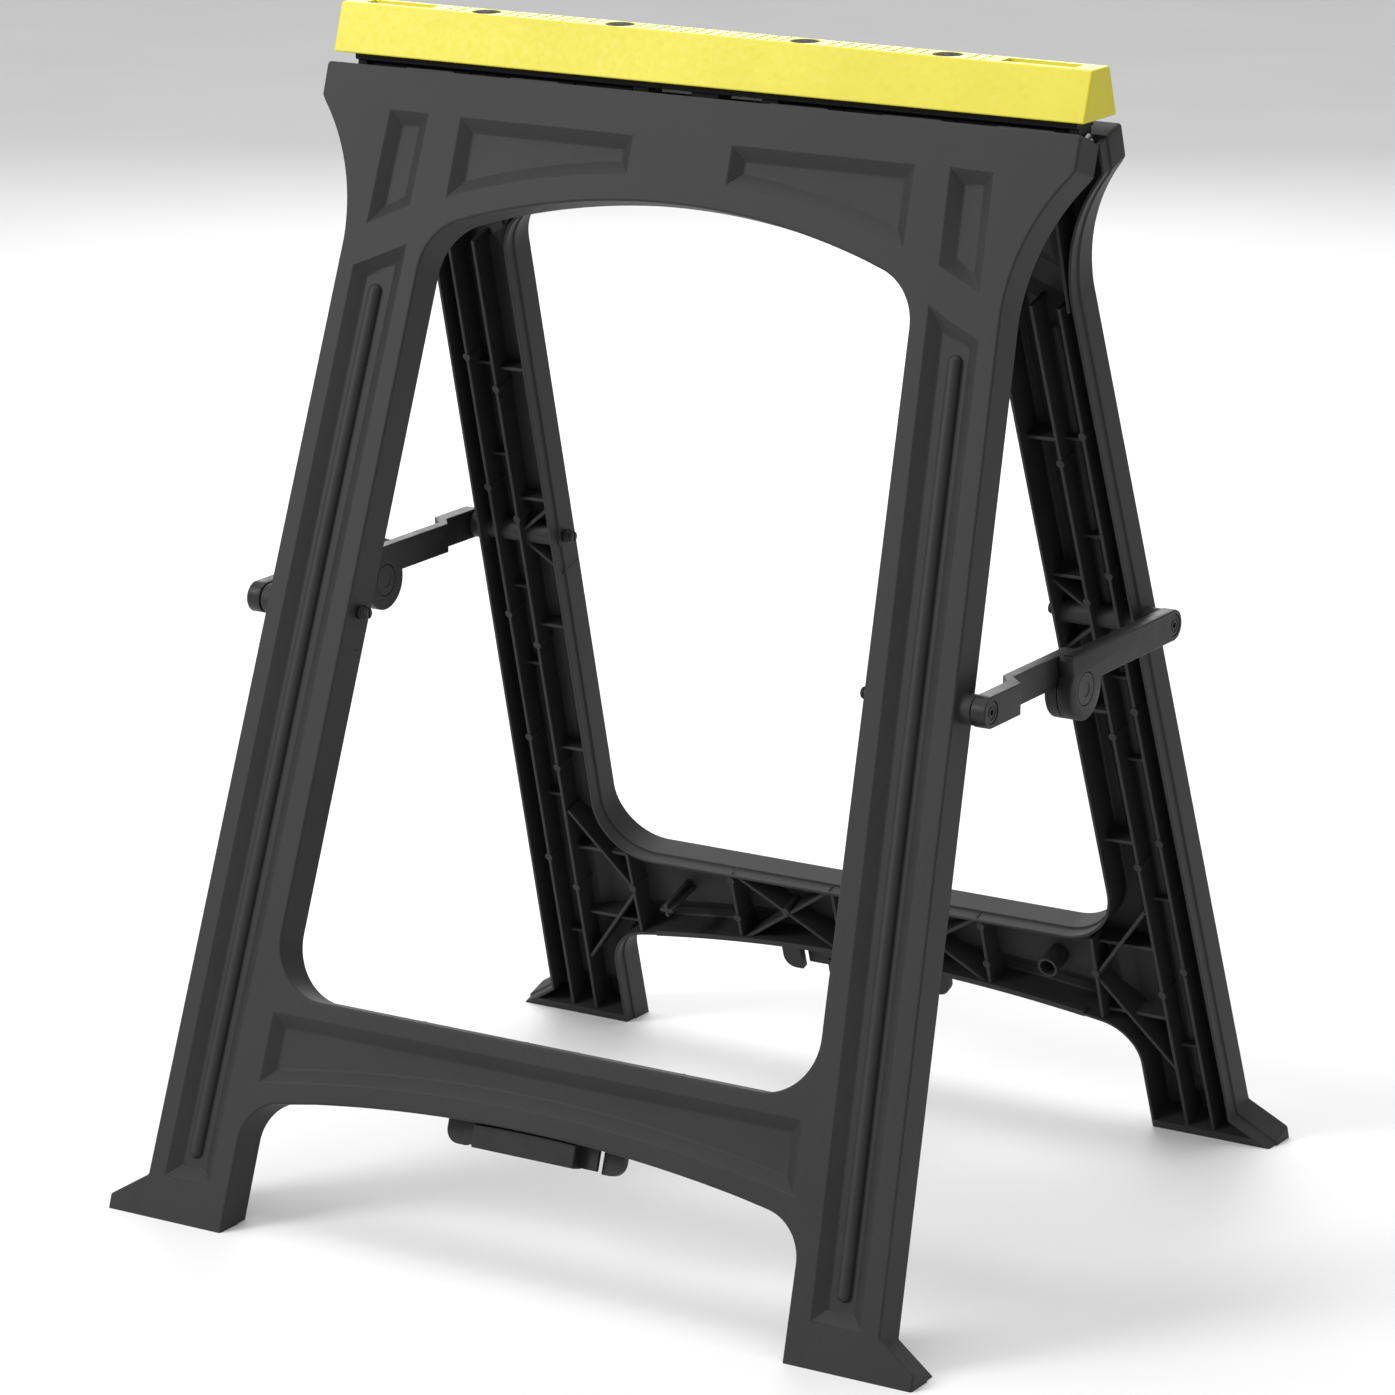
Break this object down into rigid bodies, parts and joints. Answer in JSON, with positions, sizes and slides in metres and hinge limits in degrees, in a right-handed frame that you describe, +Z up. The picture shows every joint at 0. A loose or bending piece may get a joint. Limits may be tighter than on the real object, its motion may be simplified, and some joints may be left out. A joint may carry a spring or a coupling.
{
  "type": "folding sawhorse",
  "caption": "Folding A-frame sawhorse: moulded plastic leg frames hinged under a slim top rail with rubber grip pads, held open by hinged side braces, with pull latches for the folded position.",
  "frame": {"origin": "on the floor, under the middle of the open sawhorse", "axes": "+X along the top rail, -Y towards the front leg frame, +Z up"},
  "size_m": [0.592, 0.5178, 0.75],
  "materials": {
    "frame_plastic": "charcoal polypropylene, fine moulded grain",
    "rail_plastic": "lemon yellow polypropylene, satin",
    "pad_rubber": "near-black soft rubber",
    "zinc_steel": "zinc-plated steel",
    "spring_steel": "drawn spring wire",
    "link_plastic": "black nylon, slight sheen",
    "pin_plastic": "black nylon, smooth"
  },
  "bodies": {
    "rail": {"top_rail": "rail_plastic", "hinge_carrier": "link_plastic", "grip_pad_1": "pad_rubber", "grip_pad_2": "pad_rubber", "grip_pad_3": "pad_rubber", "grip_pad_4": "pad_rubber", "hinge_rod": "zinc_steel", "rod_push_nut_right": "zinc_steel", "rod_push_nut_left": "zinc_steel"},
    "front_leg": {"front_leg_frame": "frame_plastic", "right_front_pivot_pin": "pin_plastic", "left_front_pivot_pin": "pin_plastic", "front_latch_spring": "spring_steel"},
    "rear_leg": {"rear_leg_frame": "frame_plastic", "right_rear_pivot_pin": "pin_plastic", "left_rear_pivot_pin": "pin_plastic", "rear_latch_spring": "spring_steel"},
    "right_front_link": {"right_front_link": "link_plastic", "right_joint_pin_inner": "pin_plastic"},
    "right_rear_link": {"right_rear_link": "link_plastic", "right_joint_pin_outer": "pin_plastic"},
    "left_front_link": {"left_front_link": "link_plastic", "left_joint_pin_outer": "pin_plastic"},
    "left_rear_link": {"left_rear_link": "link_plastic", "left_joint_pin_inner": "pin_plastic"},
    "front_latch": {"front_latch_tab": "link_plastic", "front_latch_clip": "zinc_steel"},
    "rear_latch": {"rear_latch_tab": "link_plastic", "rear_latch_clip": "zinc_steel"}
  },
  "joints": [
    {"name": "front_fold", "type": "hinge", "parent": "rail", "child": "front_leg", "pos_m": [0, 0, 0.704], "axis": [1, 0, 0], "range_deg": [0, 18.05]},
    {"name": "rear_fold", "type": "hinge", "parent": "rail", "child": "rear_leg", "pos_m": [0, 0, 0.704], "axis": [-1, 0, 0], "range_deg": [0, 18.05]},
    {"name": "right_front_link_pivot", "type": "hinge", "parent": "front_leg", "child": "right_front_link", "pos_m": [0.2644, -0.1209, 0.38012], "axis": [1, 0, 0], "range_deg": [0, 71.4]},
    {"name": "right_rear_link_pivot", "type": "hinge", "parent": "rear_leg", "child": "right_rear_link", "pos_m": [0.2644, 0.1209, 0.38012], "axis": [-1, 0, 0], "range_deg": [0, 71.4]},
    {"name": "left_front_link_pivot", "type": "hinge", "parent": "front_leg", "child": "left_front_link", "pos_m": [-0.2644, -0.1209, 0.38012], "axis": [1, 0, 0], "range_deg": [0, 71.4]},
    {"name": "left_rear_link_pivot", "type": "hinge", "parent": "rear_leg", "child": "left_rear_link", "pos_m": [-0.2644, 0.1209, 0.38012], "axis": [-1, 0, 0], "range_deg": [0, 71.4]},
    {"name": "front_latch_slide", "type": "slide", "parent": "front_leg", "child": "front_latch", "axis": [0, -0.3098, -0.9508], "range_m": [0, 0.006], "stiffness_N_per_m": 400, "springref_m": -0.004, "deforming": ["front_latch_spring"]},
    {"name": "rear_latch_slide", "type": "slide", "parent": "rear_leg", "child": "rear_latch", "axis": [0, 0.3098, -0.9508], "range_m": [0, 0.006], "stiffness_N_per_m": 400, "springref_m": -0.004, "deforming": ["rear_latch_spring"]}
  ],
  "couplings": [
    {"joint": "rear_fold", "follows": "front_fold", "ratio": 1},
    {"joint": "right_front_link_pivot", "follows": "front_fold", "ratio": 3.9546},
    {"joint": "right_rear_link_pivot", "follows": "front_fold", "ratio": 3.9546},
    {"joint": "left_front_link_pivot", "follows": "front_fold", "ratio": 3.9546},
    {"joint": "left_rear_link_pivot", "follows": "front_fold", "ratio": 3.9546}
  ]
}
